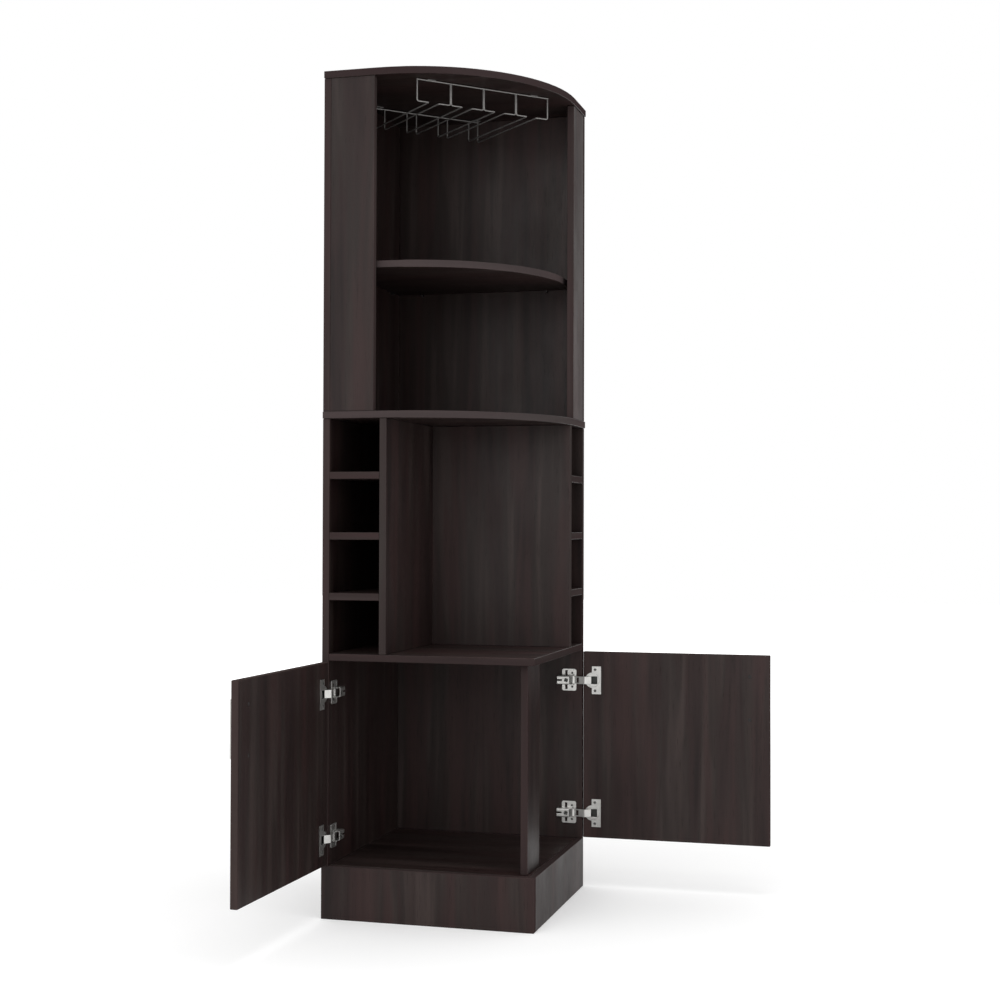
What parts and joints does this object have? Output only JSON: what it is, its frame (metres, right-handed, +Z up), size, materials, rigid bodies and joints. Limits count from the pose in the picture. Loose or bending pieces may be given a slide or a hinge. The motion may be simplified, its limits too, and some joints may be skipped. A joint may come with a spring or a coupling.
{
  "type": "corner bar cabinet",
  "caption": "Tall corner bar cabinet with a curved open top and glass rack, bottle cubbies, a serving bay and a cupboard with corner doors on a plinth.",
  "frame": {"origin": "the room corner at floor level, where the two wall sides meet", "axes": "+X along the rear wall, -Y along the left wall, +Z up; the two open fronts face -Y and +X"},
  "size_m": [0.9197, 0.9129, 1.781],
  "materials": {
    "board_laminate": "satin dark wood-grain laminate",
    "door_laminate": "satin dark wood-grain laminate, upright grain",
    "hinge_nickel": "bright nickel plate",
    "rack_chrome": "polished chrome plate",
    "handle_metal": "satin",
    "screw_steel": "dark brown lacquered screw heads",
    "pin_steel": "nickel plate"
  },
  "bodies": {
    "cabinet": {"bottom_board": "board_laminate", "corner_post": "board_laminate", "counter_board": "board_laminate", "front_plinth_board": "board_laminate", "left_back_shelf_pin": "pin_steel", "left_cubby_shelf_1": "board_laminate", "left_cubby_shelf_2": "board_laminate", "left_cubby_shelf_3": "board_laminate", "left_divider": "board_laminate", "left_front_shelf_pin": "pin_steel", "left_front_strip": "board_laminate", "left_lower_hinge_arm": "hinge_nickel", "left_lower_hinge_plate": "hinge_nickel", "left_lower_panel": "board_laminate", "left_plinth_board": "board_laminate", "left_upper_hinge_arm": "hinge_nickel", "left_upper_hinge_plate": "hinge_nickel", "left_upper_panel": "board_laminate", "mid_board": "board_laminate", "rack_front_rail": "rack_chrome", "rack_left_end_wire": "rack_chrome", "rack_rear_rail": "rack_chrome", "rack_right_end_wire": "rack_chrome", "rack_tee_1": "rack_chrome", "rack_tee_2": "rack_chrome", "rack_tee_3": "rack_chrome", "rear_back_shelf_pin": "pin_steel", "rear_front_shelf_pin": "pin_steel", "rear_lower_panel": "board_laminate", "rear_plinth_board": "board_laminate", "rear_upper_panel": "board_laminate", "right_cubby_shelf_1": "board_laminate", "right_cubby_shelf_2": "board_laminate", "right_cubby_shelf_3": "board_laminate", "right_divider": "board_laminate", "right_front_strip": "board_laminate", "right_lower_hinge_arm": "hinge_nickel", "right_lower_hinge_plate": "hinge_nickel", "right_plinth_board": "board_laminate", "right_upper_hinge_arm": "hinge_nickel", "right_upper_hinge_plate": "hinge_nickel", "top_board": "board_laminate", "upper_shelf": "board_laminate"},
    "left_door": {"left_door": "door_laminate", "left_handle": "handle_metal", "left_handle_lower_screw": "screw_steel", "left_handle_upper_screw": "screw_steel", "left_lower_hinge_cup": "hinge_nickel", "left_upper_hinge_cup": "hinge_nickel"},
    "right_door": {"right_door": "door_laminate", "right_handle": "handle_metal", "right_handle_lower_screw": "screw_steel", "right_handle_upper_screw": "screw_steel", "right_lower_hinge_cup": "hinge_nickel", "right_upper_hinge_cup": "hinge_nickel"},
    "left_hinge_links": {"left_lower_hinge_link": "hinge_nickel", "left_upper_hinge_link": "hinge_nickel"},
    "right_hinge_links": {"right_lower_hinge_link": "hinge_nickel", "right_upper_hinge_link": "hinge_nickel"}
  },
  "joints": [
    {"name": "left_door_hinge", "type": "hinge", "parent": "cabinet", "child": "left_door", "pos_m": [0.0075, -0.4515, 0.3255], "axis": [0, 0, 1], "range_deg": [-3.5, 91.5]},
    {"name": "right_door_hinge", "type": "hinge", "parent": "cabinet", "child": "right_door", "pos_m": [0.4515, -0.0075, 0.3255], "axis": [0, 0, -1], "range_deg": [-4.5, 90.5]},
    {"name": "left_link_pivot", "type": "hinge", "parent": "cabinet", "child": "left_hinge_links", "pos_m": [0.0201, -0.4399, 0.3255], "axis": [0, 0, 1], "range_deg": [-4.5, 96]},
    {"name": "right_link_pivot", "type": "hinge", "parent": "cabinet", "child": "right_hinge_links", "pos_m": [0.4399, -0.0201, 0.3255], "axis": [0, 0, -1], "range_deg": [-5.5, 95]}
  ],
  "couplings": [
    {"joint": "left_link_pivot", "follows": "left_door_hinge", "ratio": 1.04},
    {"joint": "right_link_pivot", "follows": "right_door_hinge", "ratio": 1.04}
  ]
}
